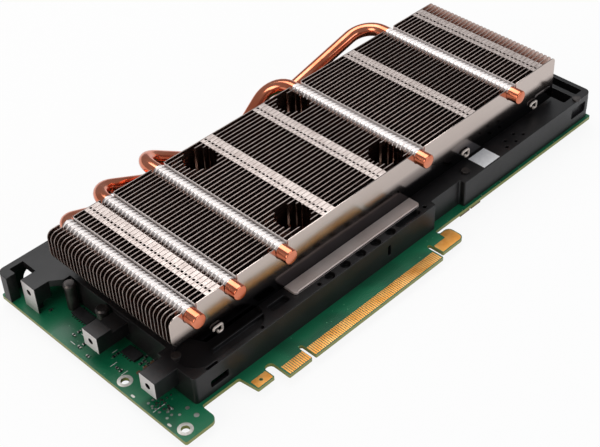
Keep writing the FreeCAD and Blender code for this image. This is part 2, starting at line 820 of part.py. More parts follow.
def side_plate():
    """Smooth front fin, with a pressed dimple and three spring clips along its foot."""
    plate = fin(stack_front_y, True, bevelled=False)
    dimple_x = around(fin_far_x - dimple_inset, dimple_length)
    dimple = rectangle(dimple_x, around(dimple_z, dimple_height), dimple_height * 0.49)
    plate = plate.cut(panel(dimple, stack_front_y, stack_front_y + dimple_depth))
    clips = [spring_clip(x) for x in clip_x]
    return join([plate] + clips)


def spring_clip(x):
    """Rounded loop that stands out of the plate's foot."""
    z = (fin_bottom_z - clip_drop, fin_bottom_z - clip_drop + clip_height)
    y = (stack_front_y - clip_stand_off, stack_front_y)
    loop = panel(rectangle((x, x + clip_width), z, clip_wire), *y)
    eye_x = (x + clip_wire, x + clip_width - clip_wire)
    eye_z = (z[0] + clip_wire, z[1] - clip_wire)
    eye = panel(rectangle(eye_x, eye_z, clip_wire / 2), stack_front_y - clip_stand_off - 1, stack_front_y)
    return loop.cut(eye)


# ---------------------------------------------------------------- base plate and its screws
def base_plate():
    """Grooved copper-filled plate: wide thin ledge, thick body and a pedestal on the processor lid."""
    ledge_z = (fin_bottom_z - ledge_thickness, fin_bottom_z)
    lid_top = top_z + package_height + lid_height
    ledge = slab(rectangle(ledge_x, ledge_y, ledge_corner_r), *ledge_z)
    body = block(base_x, base_y, (base_bottom_z, ledge_z[0]))
    pedestal = slab(rectangle(around(processor_x, pedestal_size), around(processor_y, pedestal_size),
                              lid_corner_r), lid_top, base_bottom_z)
    groove_r = pipe_r + pipe_clearance
    tools = []
    for x in pipe_base_x:
        start = V(x, pipe_base_front_y - pipe_clearance, pipe_base_z)
        tools.append(Part.makeCylinder(groove_r, ledge_y[1] - start.y + 1, start, V(0, 1, 0)))
        groove_y = (start.y, ledge_y[1] + 1)
        tools.append(block(around(x, 2 * groove_r), groove_y, (pipe_base_z, fin_bottom_z + 1)))
    hole_r = spring_screw_r + screw_clearance
    tools += [post(x, y, hole_r, base_bottom_z - 1, fin_bottom_z + 1) for x, y in spring_screw_xy]
    return drop(join([ledge, body, pedestal]), tools)


def spring_screws():
    """Shouldered screws that pull the base plate down on its springs."""
    screws = []
    for x, y in spring_screw_xy:
        shank = post(x, y, spring_screw_r, backing_bottom_z, spring_head_z)
        head = post(x, y, spring_screw_head_r, spring_head_z, spring_head_z + spring_screw_head_height)
        screws.append(join([shank, head]))
    return screws


def screw_springs():
    """Compression springs, as their closed sleeves."""
    inner = spring_screw_r + screw_clearance
    springs = []
    for x, y in spring_screw_xy:
        sleeve = post(x, y, inner + spring_wall, fin_bottom_z, spring_head_z)
        springs.append(sleeve.cut(post(x, y, inner, fin_bottom_z - 1, spring_head_z + 1)))
    return springs


def backing_plate():
    """Sprung cross under the board, with a boss at each spring screw."""
    z = (backing_bottom_z, -backing_gap)
    middle = V(processor_x, processor_y, 0)
    reach = spring_screw_span * math.sqrt(2)
    arms = []
    for turn in (45, 135):
        arm = block(around(processor_x, reach), around(processor_y, backing_arm_width), z)
        arm.rotate(middle, V(0, 0, 1), turn)
        arms.append(arm)
    bosses = [post(x, y, backing_boss_r, backing_bottom_z, 0) for x, y in spring_screw_xy]
    holes = [post(x, y, spring_screw_r, backing_bottom_z - 1, 1) for x, y in spring_screw_xy]
    return drop(join(arms + bosses), holes)


# ---------------------------------------------------------------- parts on the board
def memory_places():
    first = processor_y - (memory_count - 1) * memory_pitch / 2
    return [(x, first + index * memory_pitch) for x in memory_x for index in range(memory_count)]


def memory_chips(bottom):
    z = (bottom, bottom + memory_size[2])
    return [block(around(x, memory_size[0]), around(y, memory_size[1]), z) for x, y in memory_places()]


def thermal_pads():
    """Soft pads between the memory chips and the frame."""
    bottom = top_z + memory_size[2]
    z = (bottom, bottom + pad_thickness)
    length = memory_size[1] - pad_margin
    width = memory_size[0] - pad_margin
    return [block(around(x, width), around(y, length), z) for x, y in memory_places()]


def processor():
    package = slab(rectangle(around(processor_x, package_size), around(processor_y, package_size)),
                   top_z, top_z + package_height)
    lid = slab(rectangle(around(processor_x, lid_size), around(processor_y, lid_size), lid_corner_r),
               top_z + package_height, top_z + package_height + lid_height)
    return package, lid


def chokes():
    x, y = choke_row
    z = (top_z, top_z + choke_height)
    middles = [x + index * choke_pitch for index in range(choke_count)]
    return [block(around(middle, choke_size), around(y, choke_size), z) for middle in middles]


def transistors():
    width, length, height = transistor_size
    middles = [choke_row[0] + index * choke_pitch for index in range(choke_count)]
    z = (top_z, top_z + height)
    return [block(around(x, width), around(transistor_row_y, length), z) for x in middles]


def capacitors():
    x, y = can_row
    return [post(x + index * can_pitch, y, can_r, top_z, top_z + can_height) for index in range(can_count)]


def legged_chip(place):
    """Flat chip with a row of legs down each long side."""
    x, y, width, length = place
    body = block(around(x, width), around(y, length), (top_z, top_z + chip_height))
    rows = int((length - leg_pitch) / leg_pitch)
    legs = []
    for side in (-1, 1):
        start = x + side * width / 2
        limits = sorted((start, start + side * leg_reach))
        for index in range(rows):
            leg_y = y + (index - (rows - 1) / 2) * leg_pitch
            legs.append(block(limits, around(leg_y, leg_width), (top_z, top_z + leg_width)))
    return join([body] + legs)


def small_parts():
    """Grid of resistors and capacitors beside the front post."""
    width, length, height = small_part_size
    z = (top_z, top_z + height)
    parts = []
    for column in range(small_part_grid[0]):
        for row in range(small_part_grid[1]):
            x = small_part_start[0] + column * small_part_pitch[0]
            y = small_part_start[1] + row * small_part_pitch[1]
            parts.append(block(around(x, width), around(y, length), z))
    return parts


def under_capacitors():
    """Low capacitors under the front edge."""
    width, length, height = under_cap_size
    y = (board_front_y + 0.3, board_front_y + 0.3 + length)
    return [block((x, x + width), y, (-height, 0)) for x in under_cap_x]


def power_plug(middle, columns):
    """Right-angle header with two rows of square cavities that open at the far end."""
    width = columns * plug_pitch + 2 * plug_wall
    height = 2 * plug_pitch + 2 * plug_wall
    x = (frame_far_x - plug_depth + plug_far_gap, frame_far_x)
    z = (top_z + plug_lift, top_z + plug_lift + height)
    housing = block(x, around(middle, width), z)
    foot = block((x[0], x[0] + plug_floor), around(middle, width), (top_z, z[0]))
    cavities = []
    pins = []
    for column in range(columns):
        for row in range(2):
            cavity_y = middle + (column - (columns - 1) / 2) * plug_pitch
            cavity_z = z[0] + plug_wall + (row + 0.5) * plug_pitch
            depth = (x[0] + plug_floor, x[1] + 1)
            cavities.append(block(depth, around(cavity_y, plug_cavity), around(cavity_z, plug_cavity)))
            pin_x = (x[0] + plug_floor, x[0] + plug_floor + plug_pin_length)
            pins.append(block(pin_x, around(cavity_y, plug_pin), around(cavity_z, plug_pin)))
    return drop(join([housing, foot]), cavities), pins


# ---------------------------------------------------------------- write every node
def main():
    os.makedirs("parts", exist_ok=True)
    save("circuit_board", [circuit_board()])
    save("contacts_top", edge_contacts(top_z))
    save("contacts_bottom", edge_contacts(-plating_thickness))
    save("plated_tabs", plated_tabs())
    save("mounting_rings", mounting_rings())
    save("frame", [frame()])
    save("frame_screws", frame_screws())
    save("deck_screws", deck_screws())
    save("standoffs", standoffs())
    save("standoff_screws", standoff_screws())
    save("label", [block(label_x, label_y, (frame_top_z, frame_top_z + label_thickness))])
    save("side_plate", [side_plate()])
    save("plain_fins", plain_fins())
    save("well_fins_front", well_fins(spring_screw_y[0]))
    save("well_fins_back", well_fins(spring_screw_y[1]))
    save("pipe_collars", pipe_collars())
    for index in range(len(pipe_x)):
        save("heat_pipe_" + str(index + 1), [heat_pipe(index)])
    save("base_plate", [base_plate()])
    save("spring_screws", spring_screws())
    save("screw_springs", screw_springs())
    save("backing_plate", [backing_plate()])
    package, lid = processor()
    save("processor_package", [package])
    save("processor_lid", [lid])
    save("memory_chips_top", memory_chips(top_z))
    save("memory_chips_bottom", memory_chips(-memory_size[2]))
    save("thermal_pads", thermal_pads())
    save("chokes", chokes())
    save("transistors", transistors())
    save("capacitors", capacitors())
    save("control_chip_a", [legged_chip(control_chip_a)])
    save("control_chip_b", [legged_chip(control_chip_b)])
    save("small_parts", small_parts())
    save("under_capacitors", under_capacitors())
    names = ("power_plug_6", "power_plug_8")
    all_pins = []
    for name, middle, columns in zip(names, plug_y, plug_columns):
        housing, pins = power_plug(middle, columns)
        save(name, [housing])
        all_pins += pins
    save("plug_pins", all_pins)


main()
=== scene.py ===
# %% [markdown]
# # A passive accelerator card
# The card has no fan: air from the server blows through a long stack of folded fins.
# Five heat pipes carry heat from a base plate on the processor up into the stack.
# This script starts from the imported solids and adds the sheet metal, finish and light.

import math

import bmesh
import bpy
from mathutils import Matrix, Vector


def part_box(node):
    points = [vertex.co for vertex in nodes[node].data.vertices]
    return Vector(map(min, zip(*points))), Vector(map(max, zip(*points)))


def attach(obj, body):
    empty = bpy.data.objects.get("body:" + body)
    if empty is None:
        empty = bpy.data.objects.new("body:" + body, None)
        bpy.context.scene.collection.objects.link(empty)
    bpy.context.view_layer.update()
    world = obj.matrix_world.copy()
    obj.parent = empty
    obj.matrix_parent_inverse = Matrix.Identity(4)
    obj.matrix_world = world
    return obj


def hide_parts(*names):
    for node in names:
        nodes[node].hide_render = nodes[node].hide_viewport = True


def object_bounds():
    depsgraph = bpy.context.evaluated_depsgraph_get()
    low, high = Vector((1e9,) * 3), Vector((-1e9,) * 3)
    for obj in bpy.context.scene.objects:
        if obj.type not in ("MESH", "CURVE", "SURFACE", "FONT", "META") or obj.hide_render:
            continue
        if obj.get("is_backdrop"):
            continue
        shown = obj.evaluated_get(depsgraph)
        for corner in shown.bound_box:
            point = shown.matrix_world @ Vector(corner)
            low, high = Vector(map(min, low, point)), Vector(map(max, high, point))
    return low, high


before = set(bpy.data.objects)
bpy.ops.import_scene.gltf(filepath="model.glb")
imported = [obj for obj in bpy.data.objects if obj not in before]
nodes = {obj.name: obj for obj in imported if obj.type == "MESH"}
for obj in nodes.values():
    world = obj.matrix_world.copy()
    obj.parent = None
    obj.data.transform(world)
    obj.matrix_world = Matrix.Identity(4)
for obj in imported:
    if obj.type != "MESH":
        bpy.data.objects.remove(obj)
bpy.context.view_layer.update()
MM = 0.001
print("loaded", len(nodes), "solids")

# %% [markdown]
# ## Sizes
# Where the solids show a place, it is read from their boxes. What is written out below is finer
# than the solids show, such as folds, slots and gaps. The turns of the pipes, the starts of the
# lips, the clips and the small things on the board also stand on written places, so they need
# new ones on a card of another size.

# %% Sizes taken from the solids
plain_lo, plain_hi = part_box("plain_fins")
wells_lo, wells_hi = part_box("well_fins_front")[0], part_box("well_fins_back")[1]
base_lo, base_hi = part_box("base_plate")
screws_lo, screws_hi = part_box("spring_screws")
spring_lo, spring_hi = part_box("screw_springs")

FIN_PITCH = 2.06 * MM
FIN_THICK = 0.4 * MM
FIN_NEAR, FIN_FAR = plain_lo.x, plain_hi.x
FIN_TOP, FIN_FOOT = wells_hi.z, base_hi.z
STACK_FRONT = min(wells_lo.y, plain_lo.y) - FIN_PITCH
STACK_BACK = max(wells_hi.y, plain_hi.y)
FIN_COUNT = round((STACK_BACK - FIN_THICK - STACK_FRONT) / FIN_PITCH) + 1
BOARD_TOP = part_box("circuit_board")[1].z
print("fins in the stack:", FIN_COUNT)

# %% Sizes of the heat pipes
# The runs through the fins stand higher than in the solids, with crests just under the fins'
# tops, and a little nearer and further forward. Each pipe turns down at its own place.
PIPE_NAMES = ["heat_pipe_" + str(number) for number in range(1, 6)]
PIPE_R, PIPE_RIM = 3.0 * MM, 0.5 * MM
PIPE_BEND_R = [7 * MM, 11 * MM, 11 * MM, 11 * MM, 11 * MM]
PIPE_TOP_Z = FIN_TOP - PIPE_R - 0.2 * MM
PIPE_BASE_Z, PIPE_BASE_FRONT = FIN_FOOT - PIPE_R, 30.0 * MM
PIPE_SHIFT_X, PIPE_SHIFT_Y = -1.5 * MM, -1.5 * MM
PIPE_TURN_Y = [95.8 * MM, 103.5 * MM, 106.5 * MM, 105.5 * MM, 106.0 * MM]
PIPE_BASE_TURN_Y = [99.5 * MM, 102.0 * MM, 105.0 * MM, 104.0 * MM, 107.5 * MM]

# The first three pipes come back under the fins further along, and the last two nearer.
PIPE_X, PIPE_BASE_X = [], []
for index, name in enumerate(PIPE_NAMES):
    low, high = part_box(name)
    near, far = low.x + PIPE_R, high.x - PIPE_R
    PIPE_X.append((near if index < 3 else far) + PIPE_SHIFT_X)
    PIPE_BASE_X.append(far if index < 3 else near)
print("pipe rows at", [round(x / MM, 1) for x in PIPE_X])

# %% Sizes of a fin, its wells and its notches
FIN_SHOULDER_R, FIN_HEEL_R, FIN_FAR_R = 3.0 * MM, 6.0 * MM, 2.5 * MM
FIN_HEEL_Z, FIN_SLOPE_Z = 26.5 * MM, 22.8 * MM
FIN_SLOPE_INSET, FIN_FOOT_INSET = 7.1 * MM, 14.8 * MM
PLATE_RIM = 0.09 * MM
WELL_R, WELL_FOOT_R, WELL_STEP_Z = 7.0 * MM, 3.7 * MM, 20.5 * MM
SCREW_HEAD_R = 3.2 * MM
NOTCH_R, NOTCH_CORNER_R = 3.15 * MM, 0.4 * MM
print("notches of", round(2 * NOTCH_R / MM, 2), "mm for pipes of", round(2 * PIPE_R / MM, 2), "mm")

# %% Sizes of what is folded from the fins
LIP_STARTS = [-27.4 * MM, 30.0 * MM, 58.6 * MM, 112.5 * MM, 157.7 * MM]
LIP_WIDTH, LIP_WALL, LIP_GAP = 6.5 * MM, 0.2 * MM, 0.03 * MM
LIP_FOLD_R, LIP_TAIL = 0.22 * MM, 1.2 * MM
LIP_SLOT, LIP_SLOT_PLACE = (1.0 * MM, 1.15 * MM), (1.9 * MM, 0.45 * MM)
FLANGE_WALL, FOLD_GAP = 0.12 * MM, 0.01 * MM
PETAL_TURNS, PETAL_GAP = ((158, 90), (44, 90)), 0.05 * MM
COLLAR_DROP, COLLAR_DIP, COLLAR_DEPTH = 0.05 * MM, 0.6 * MM, 1.0 * MM
print("slot in a lip:", [round(side / MM, 2) for side in LIP_SLOT], "mm")

# %% [markdown]
# ## Helpers
# A node helper adds one node with its settings and links, for shaders and geometry alike.
# Meshes are made in place with the object at the origin, so a piece always fits the solids.

# %% Node and colour helpers
def linear(code):
    """Linear RGBA of an sRGB hex colour."""
    channels = [int(code[i:i + 2], 16) / 255 for i in (1, 3, 5)]
    light = [c / 12.92 if c <= 0.04045 else ((c + 0.055) / 1.055) ** 2.4 for c in channels]
    return (*light, 1.0)


def fill(tree, node, inputs):
    """Set each input of a node to a value, or link it to a socket."""
    for name, value in inputs.items():
        if isinstance(value, bpy.types.NodeSocket):
            tree.links.new(value, node.inputs[name])
        else:
            node.inputs[name].default_value = value


def add(tree, kind, inputs=None, **settings):
    """Node with its properties set and its inputs filled or linked."""
    node = tree.nodes.new(kind)
    for name, value in settings.items():
        setattr(node, name, value)
    fill(tree, node, inputs or {})
    return node


def material(name):
    """Empty material with its output and one principled shader."""
    made = bpy.data.materials.new(name)
    made.use_nodes = True
    made.node_tree.nodes.clear()
    shader = add(made.node_tree, "ShaderNodeBsdfPrincipled")
    add(made.node_tree, "ShaderNodeOutputMaterial", {"Surface": shader.outputs[0]})
    return made, made.node_tree, shader


print("helpers ready")


# %% Shader helpers
def coordinates(tree, stretch=(1, 1, 1)):
    """Object coordinates in metres, stretched by a factor along each axis."""
    place = add(tree, "ShaderNodeTexCoord").outputs["Object"]
    return add(tree, "ShaderNodeMapping", {"Vector": place, "Scale": stretch}).outputs[0]


def noise(tree, size, detail=3.0, stretch=(1, 1, 1)):
    """Noise whose features are about this many metres wide."""
    settings = {"Vector": coordinates(tree, stretch), "Scale": 1 / size, "Detail": detail}
    return add(tree, "ShaderNodeTexNoise", settings).outputs["Fac"]


def ramp(tree, fac, stops):
    """Colour ramp from (position, hex colour) stops."""
    made = add(tree, "ShaderNodeValToRGB", {"Fac": fac})
    elements = made.color_ramp.elements
    while len(elements) < len(stops):
        elements.new(0.5)
    for element, (position, code) in zip(elements, stops):
        element.position = position
        element.color = linear(code)
    return made.outputs["Color"]


def mottle(tree, size, *codes):
    """Two colours in soft patches of about this many metres."""
    return ramp(tree, noise(tree, size), list(zip((0.3, 0.7), codes)))


def spread(tree, fac, low, high):
    """Value that runs from low to high as fac runs from 0 to 1."""
    limits = {"Value": fac, "To Min": low, "To Max": high}
    return add(tree, "ShaderNodeMapRange", limits).outputs[0]


def every(tree, tests):
    """One where all the (value, comparison, limit) tests hold, and zero elsewhere."""
    share = 1.0
    for value, comparison, limit in tests:
        test = add(tree, "ShaderNodeMath", {0: value, 1: limit}, operation=comparison).outputs[0]
        both = add(tree, "ShaderNodeMath", {0: test, 1: share}, operation="MULTIPLY")
        share = both.outputs[0]
    return share


def bump(tree, height, distance, rounding=0.0):
    """Bumped normal; rounding softens sharp edges by that radius."""
    inputs = {"Height": height, "Distance": distance}
    if rounding:
        rounded = add(tree, "ShaderNodeBevel", {"Radius": rounding}, samples=6)
        inputs["Normal"] = rounded.outputs[0]
    return add(tree, "ShaderNodeBump", inputs).outputs[0]


print("shader helpers ready")


# %% Mesh helpers
def mesh_object(name, bm, *materials, smooth=35):
    """Object at the origin from a bmesh, smooth below an angle."""
    bmesh.ops.recalc_face_normals(bm, faces=bm.faces)
    mesh = bpy.data.meshes.new(name)
    bm.to_mesh(mesh)
    bm.free()
    for each in materials:
        mesh.materials.append(each)
    mesh.polygons.foreach_set("use_smooth", [True] * len(mesh.polygons))
    mesh.set_sharp_from_angle(angle=math.radians(smooth))
    made = bpy.data.objects.new(name, mesh)
    bpy.context.scene.collection.objects.link(made)
    return made


def plain_mesh(piece):
    """Leave a piece with the mesh its modifiers give, and without the modifiers."""
    bpy.context.view_layer.update()
    seen = piece.evaluated_get(bpy.context.evaluated_depsgraph_get())
    mesh = bpy.data.meshes.new_from_object(seen)
    piece.modifiers.clear()
    piece.data = mesh


def prism(bm, outline, start, direction):
    """Closed prism over an outline of points, pushed along a direction."""
    near = [bm.verts.new(start + point) for point in outline]
    far = [bm.verts.new(start + point + direction) for point in outline]
    bm.faces.new(near)
    bm.faces.new(reversed(far))
    stitch(bm, near, far)
    return bm


def stitch(bm, one, two):
    """Band of faces between two closed loops of vertices."""
    for index in range(len(one)):
        after = (index + 1) % len(one)
        bm.faces.new((one[index], two[index], two[after], one[after]))


def arc(middle, radius, first, last, steps):
    """Points (a, b) of an arc, angles in degrees."""
    turns = [math.radians(first + (last - first) * step / steps) for step in range(steps + 1)]
    a, b = middle
    return [(a + radius * math.cos(turn), b + radius * math.sin(turn)) for turn in turns]


print("mesh helpers ready")


# %% Sweep helpers
def rounded_path(points, radius, steps=10):
    """Polyline through points with its corners turned into arcs."""
    path = [points[0]]
    for before, corner, after in zip(points, points[1:], points[2:]):
        back, ahead = (before - corner).normalized(), (after - corner).normalized()
        half = back.angle(ahead) / 2
        middle = corner + (back + ahead).normalized() * (radius / math.sin(half))
        start = (corner + back * (radius / math.tan(half)) - middle).normalized()
        end = (corner + ahead * (radius / math.tan(half)) - middle).normalized()
        path += [middle + start.slerp(end, step / steps) * radius for step in range(steps + 1)]
    return path + [points[-1]]


def tube(bm, path, radius, sides=24, rim=0.0):
    """Round bar along a path with closed ends; rim rounds the edge of each end."""
    turns = (0.0, 0.4, 0.8, 1.2, 1.57) if rim else (0.0,)
    corner = [(rim * (1 - math.cos(turn)), rim * (1 - math.sin(turn))) for turn in turns]
    first, last = (path[1] - path[0]).normalized(), (path[-1] - path[-2]).normalized()
    rings = [(path[0] + first * depth, radius - cut) for depth, cut in corner]
    rings += [(point, radius) for point in path[1:-1]]
    rings += [(path[-1] - last * depth, radius - cut) for depth, cut in reversed(corner)]
    side, loops = None, []
    for index, (point, size) in enumerate(rings):
        ahead = rings[min(index + 1, len(rings) - 1)][0] - rings[max(index - 1, 0)][0]
        ahead = ahead.normalized()
        side = (side or ahead.orthogonal()).normalized()
        side = (side - ahead * side.dot(ahead)).normalized()
        up = ahead.cross(side)
        spots = arc((0, 0), size, 0, 360 - 360 / sides, sides - 1)
        loops.append([bm.verts.new(point + side * a + up * b) for a, b in spots])
    for one, two in zip(loops, loops[1:]):
        stitch(bm, one, two)
    bm.faces.new(reversed(loops[0]))
    bm.faces.new(loops[-1])


print("sweep helpers ready")

# %% [markdown]
# ## Materials
# Nickel-plated sheet mirrors its neighbours, so deep gaps between fins go dark by themselves.
# Sheared edges are rougher and catch the light. The copper tubes are soldered inside the stack,
# which leaves them silver there. Each finish is made from noise in real millimetres.

# %% Fin sheet
# Rolled aluminium strip, nickel-plated, then cut and folded in one progressive tool.
fin_sheet, tree, shader = material("nickel_plated_sheet")
fill(tree, shader, {
    "Base Color": linear("#c8aea4"), "Metallic": 1.0,
    "Roughness": spread(tree, noise(tree, 6 * MM), 0.16, 0.26),
    "Normal": bump(tree, noise(tree, 30 * MM, 2.0), 0.15 * MM)})

# The press leaves its sheared edges grey and rough, and its folds brighter.
fin_edge, tree, shader = material("sheared_sheet_edge")
grey = mottle(tree, 3 * MM, "#8a7d78", "#a89b95")
fill(tree, shader, {"Base Color": grey, "Metallic": 0.7, "Roughness": 0.5})
fold, tree, shader = material("folded_sheet")
pale = mottle(tree, 3 * MM, "#bcaea8", "#dacec8")
fill(tree, shader, {"Base Color": pale, "Metallic": 0.8, "Roughness": 0.36})

# Flux and solder leave the flanges round the pipes matt and pale.
soldered, tree, shader = material("solder_wetted_sheet")
matt = mottle(tree, 4 * MM, "#e9e0dd", "#fdf7f4")
fill(tree, shader, {"Base Color": matt, "Metallic": 0.1, "Roughness": 0.42})
print("made", fin_sheet.name, fin_edge.name, fold.name, "and", soldered.name)

# %% Front plate
# The same strip in a smoother temper; slow waves in the sheet bend its reflections. Its colour is
# painted from dark at the foot to pale near the top: a painted reflection of the frame and the
# floor.
plate_metal, tree, shader = material("polished_nickel_plate")
height = add(tree, "ShaderNodeSeparateXYZ", {"Vector": coordinates(tree)}).outputs["Z"]
rise = add(tree, "ShaderNodeMapRange", {"Value": height, "From Min": FIN_FOOT, "From Max": FIN_TOP})
# painted reflection: dark at the foot and pale near the top, for the black frame below and the pale
# floor
painted_reflection_stops = [(0.0, "#1f1e21"), (0.26, "#3b383b"), (0.52, "#a39791"), (0.62, "#d2c4bc")]
waves = noise(tree, 60 * MM, 1.0, (1, 1, 1.6))
fill(tree, shader, {
    "Base Color": ramp(tree, rise.outputs[0], painted_reflection_stops), "Metallic": 1.0,
    "Roughness": spread(tree, noise(tree, 9 * MM), 0.1, 0.15),
    "Normal": bump(tree, waves, 0.5 * MM, 0.2 * MM)})
print("made", plate_metal.name)

# %% Copper tube, tinned inside the stack
# Drawn copper, bent and flattened a little at the bends, then reflowed with solder in the fins.
# Inside the stack the crest is tin-coloured, and its flanks are darkened to brown as painted shade.
copper, tree, shader = material("drawn_copper_tube")
place = add(tree, "ShaderNodeSeparateXYZ", {"Vector": coordinates(tree)}).outputs
tinned = every(tree, [
    (place["Y"], "GREATER_THAN", STACK_FRONT + 0.3 * MM), (place["Y"], "LESS_THAN", STACK_BACK),
    (place["Z"], "GREATER_THAN", FIN_FOOT + 4 * MM)])
flank = {"Value": place["Z"], "From Min": FIN_TOP - 2.0 * MM, "From Max": FIN_TOP - 0.6 * MM}
crest = add(tree, "ShaderNodeMapRange", flank).outputs[0]
bare = mottle(tree, 9 * MM, "#da7450", "#ee9a7a")
# painted shade: pale tin at the crest, painted dark brown down the flanks
tin_and_flank_shade = ramp(tree, crest, [(0.0, "#3a2b27"), (1.0, "#e6dedb")])
mix = add(tree, "ShaderNodeMix", {"Factor": tinned, 6: bare, 7: tin_and_flank_shade}, data_type="RGBA")
fill(tree, shader, {
    "Base Color": mix.outputs[2], "Metallic": 1.0, "Roughness": spread(tree, tinned, 0.16, 0.3),
    "Normal": bump(tree, noise(tree, 6 * MM, 1.0), 0.03 * MM)})
print("made", copper.name)


# %% Plain metals and plastics
def finish(name, codes, metallic, rough, grain, depth, rounding=0.0):
    """Finish from two mottled colours, a roughness range, and a grain's width and depth in mm."""
    made, tree, shader = material(name)
    fill(tree, shader, {
        "Base Color": mottle(tree, grain * 4 * MM, *codes), "Metallic": metallic,
        "Roughness": spread(tree, noise(tree, grain * 2 * MM), *rough),
        "Normal": bump(tree, noise(tree, grain * MM), depth * MM, rounding * MM)})
    return made


# hard gold, electroplated over nickel on the etched fingers
gold = finish("hard_gold_plating", ("#ee9c40", "#ffc272"), 1.0, (0.25, 0.4), 1.5, 0.005)
# tin-dipped copper pads, slightly domed by the solder's surface tension
tin = finish("tinned_copper_pad", ("#b9b9b4", "#dcdcd6"), 1.0, (0.25, 0.45), 1, 0.03)
# zinc-plated steel, turned and rolled
steel = finish("zinc_plated_steel", ("#a9a6a0", "#cdc9c2"), 1.0, (0.25, 0.4), 1, 0.01, 0.15)
# spring wire, bright drawn and lightly tinned
wire = finish("bright_spring_wire", ("#d9cbc0", "#f2e6dc"), 0.5, (0.3, 0.4), 1, 0.005)
# turned steel with a black oxide bath after it
dark_steel = finish("black_oxide_steel", ("#464241", "#6a6563"), 0.9, (0.3, 0.42), 1, 0.01, 0.15)
# skimmed copper block, nickel-plated like the fins
base_metal = finish(
    "nickel_plated_base", ("#d9c8c0", "#ecdfd8"), 0.45, (0.32, 0.44), 3, 0.01, 0.2)
# epoxy moulding compound with a fine spark-eroded surface
moulded = finish("moulded_chip_epoxy", ("#151516", "#202022"), 0.0, (0.45, 0.6), 0.4, 0.01, 0.08)
# black nylon from an injection mould
nylon = finish("black_nylon", ("#101011", "#18181a"), 0.0, (0.35, 0.5), 1, 0.01, 0.15)
# paper label with a satin coat, left blank
paper = finish("coated_label_paper", ("#e9e9ea", "#f6f6f7"), 0.0, (0.5, 0.6), 0.5, 0.004)
# silicone gap filler, soft and slightly dusty
gap_pad = finish("silicone_gap_pad", ("#8a97a8", "#a0abb8"), 0.0, (0.6, 0.8), 1, 0.03)
# tantalum capacitors and resistors in brown epoxy
brown = finish("brown_component_epoxy", ("#5a3f2a", "#7a5638"), 0.0, (0.4, 0.6), 0.5, 0.01)
# white ink, screen printed on the mask
ink = finish("white_legend_ink", ("#d6dcd6", "#eef2ee"), 0.0, (0.5, 0.6), 0.5, 0.002)
print("plain finishes made")

# %% [markdown]
# ### Frame
# The frame is cast and then coated in a fine black powder. The three bracket posts are milled
# after coating, so their end faces are bare metal. A mask on the object's own X finds them.

# %% Black powder coat
POST_INSET, POST_FACE_DEPTH = 3.45 * MM, 0.2 * MM
post_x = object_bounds()[0][0] + POST_INSET
coat, tree, shader = material("black_powder_coat")
along = add(tree, "ShaderNodeSeparateXYZ", {"Vector": coordinates(tree)}).outputs["X"]
normal = add(tree, "ShaderNodeNewGeometry").outputs["True Normal"]
facing = add(tree, "ShaderNodeSeparateXYZ", {"Vector": normal}).outputs["X"]
milled = every(tree, [
    (along, "LESS_THAN", post_x), (along, "GREATER_THAN", post_x - POST_FACE_DEPTH),
    (facing, "LESS_THAN", -0.9)])
powder = mottle(tree, 8 * MM, "#100f10", "#1c1a1b")
layers = {"Factor": milled, 6: powder, 7: linear("#dcd8d6")}
mix = add(tree, "ShaderNodeMix", layers, data_type="RGBA")
fill(tree, shader, {
    "Base Color": mix.outputs[2], "Metallic": spread(tree, milled, 0.0, 0.6),
    "Roughness": spread(tree, noise(tree, 3 * MM), 0.3, 0.42),
    "Normal": bump(tree, noise(tree, 0.35 * MM, 2.0), 0.02 * MM, 0.35 * MM)})
print("made", coat.name)

# %% [markdown]
# ### Circuit board
# Liquid solder mask is poured over etched copper, so traces and planes show as lighter green
# steps under it. Traces run in short parallel bundles, and tiny vias are scattered along them.
# The sawn edge of the board shows its yellowish glass and resin.

# %% Green solder mask
mask, tree, shader = material("green_solder_mask")
lanes = add(tree, "ShaderNodeTexBrick", {
    "Vector": coordinates(tree), "Color1": (0, 0, 0, 1), "Color2": (1, 1, 1, 1),
    "Mortar": (0.5, 0.5, 0.5, 1), "Scale": 1 / (9 * MM), "Mortar Size": 0.004,
    "Brick Width": 1.6, "Row Height": 0.09}).outputs["Fac"]
cells = {"Vector": coordinates(tree), "Scale": 1 / (3.4 * MM)}
dots = add(tree, "ShaderNodeTexVoronoi", cells).outputs["Distance"]
normal = add(tree, "ShaderNodeNewGeometry").outputs["True Normal"]
level = add(tree, "ShaderNodeSeparateXYZ", {"Vector": normal}).outputs["Z"]
vias = every(tree, [(dots, "LESS_THAN", 0.075)])
sawn = every(tree, [(level, "LESS_THAN", 0.5), (level, "GREATER_THAN", -0.5)])
colour = ramp(tree, noise(tree, 22 * MM, 1.0), [(0.42, "#085f3f"), (0.5, "#0c714b")])
for share, code in ((lanes, "#0a5d40"), (vias, "#5aa67c"), (sawn, "#8a8f4a")):
    layer = {"Factor": share, 6: colour, 7: linear(code)}
    colour = add(tree, "ShaderNodeMix", layer, data_type="RGBA").outputs[2]
fill(tree, shader, {
    "Base Color": colour, "Roughness": 0.34, "Coat Weight": 0.25, "Coat Roughness": 0.2,
    "Normal": bump(tree, lanes, 0.02 * MM)})
print("made", mask.name)

# %% [markdown]
# ## Fin stack
# One fin is drawn once and repeated along Y with Geometry Nodes, as the press does it.
# The tree lays the copies on a line and gives them their finish. For the fins it also cuts the
# four round wells over the spring screws, and gives the sheared edges their own finish.

# %% Wells and edges of the fins
EDGE_DEPTH, EDGE_NEAR, EDGE_FAR = 1.5 * MM, 16 * MM, 4 * MM


